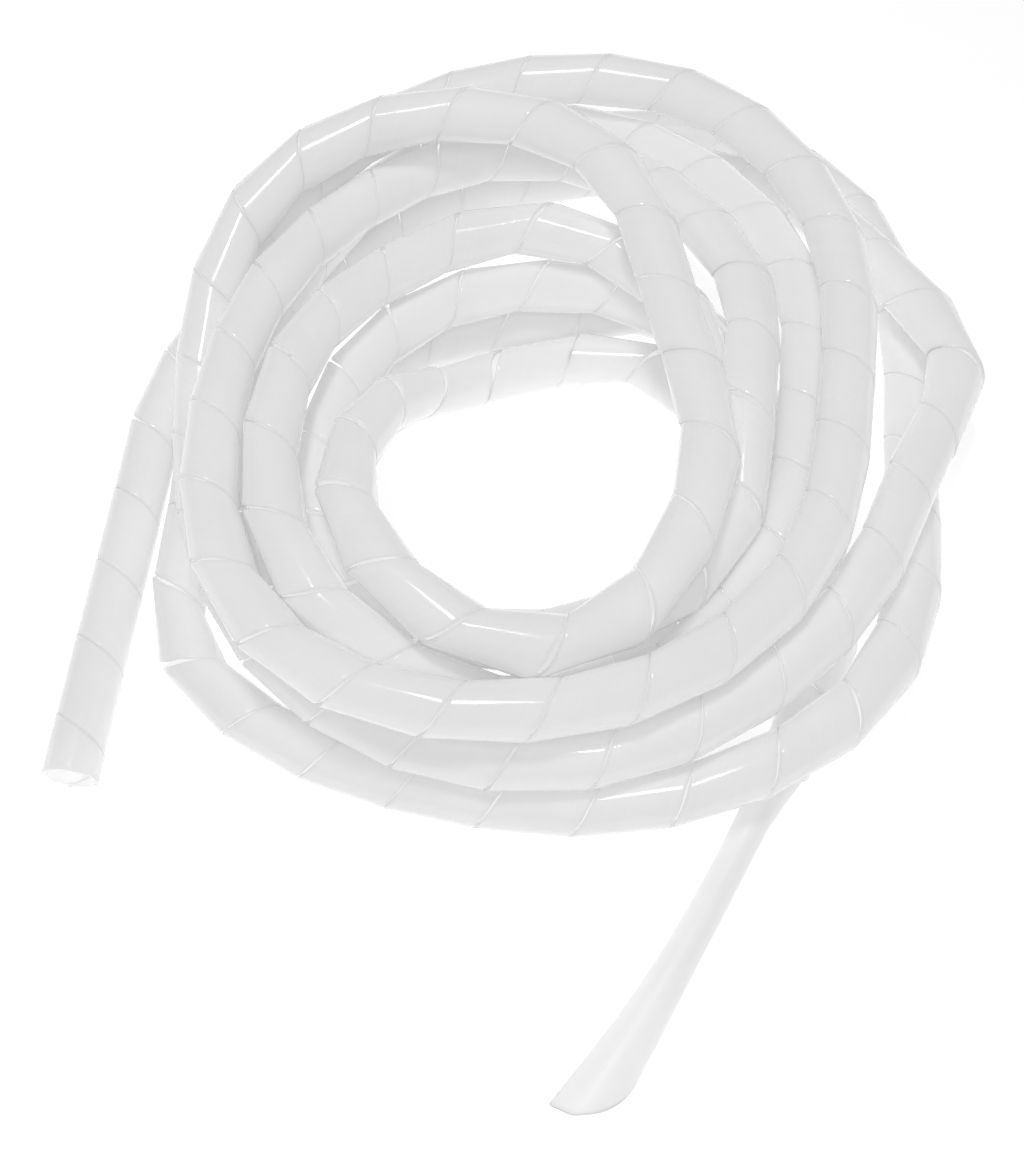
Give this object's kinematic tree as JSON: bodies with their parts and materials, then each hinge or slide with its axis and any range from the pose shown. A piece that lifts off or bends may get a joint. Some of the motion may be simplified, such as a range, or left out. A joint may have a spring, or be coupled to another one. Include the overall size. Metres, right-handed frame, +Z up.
{
  "type": "tree guard tube",
  "caption": "Loose coil of flexible spiral-cut plastic tree guard tube with two free ends, one open and round, one drawn out into a tongue.",
  "frame": {"origin": "on the ground, at the middle of the coil", "axes": "+Z up, +Y away from the free ends, +X to the right with the free ends nearest"},
  "size_m": [0.3437, 0.4203, 0.0849],
  "materials": {
    "polyethylene": "milky translucent, smooth"
  },
  "bodies": {
    "coil": {"coil_turn_1": "polyethylene", "coil_turn_2": "polyethylene", "coil_turn_3": "polyethylene", "coil_turn_4": "polyethylene", "coil_turn_5": "polyethylene", "coil_turn_6": "polyethylene", "coil_turn_7": "polyethylene", "coil_turn_8": "polyethylene", "coil_turn_9": "polyethylene", "coil_turn_10": "polyethylene", "coil_way_out": "polyethylene"},
    "left_end": {"left_run": "polyethylene", "left_mouth": "polyethylene"},
    "right_end": {"right_run": "polyethylene", "right_tongue": "polyethylene"}
  },
  "joints": [
    {"name": "left_end_bend", "type": "hinge", "parent": "coil", "child": "left_end", "pos_m": [-0.15477, 0, 0.01], "axis": [0, 0, 1], "range_deg": [-25, 0], "stiffness_Nm_per_rad": 0.5},
    {"name": "right_end_bend", "type": "hinge", "parent": "coil", "child": "right_end", "pos_m": [0.074, -0.137, 0.01], "axis": [0, 0, 1], "range_deg": [-20, 35], "stiffness_Nm_per_rad": 0.5}
  ]
}
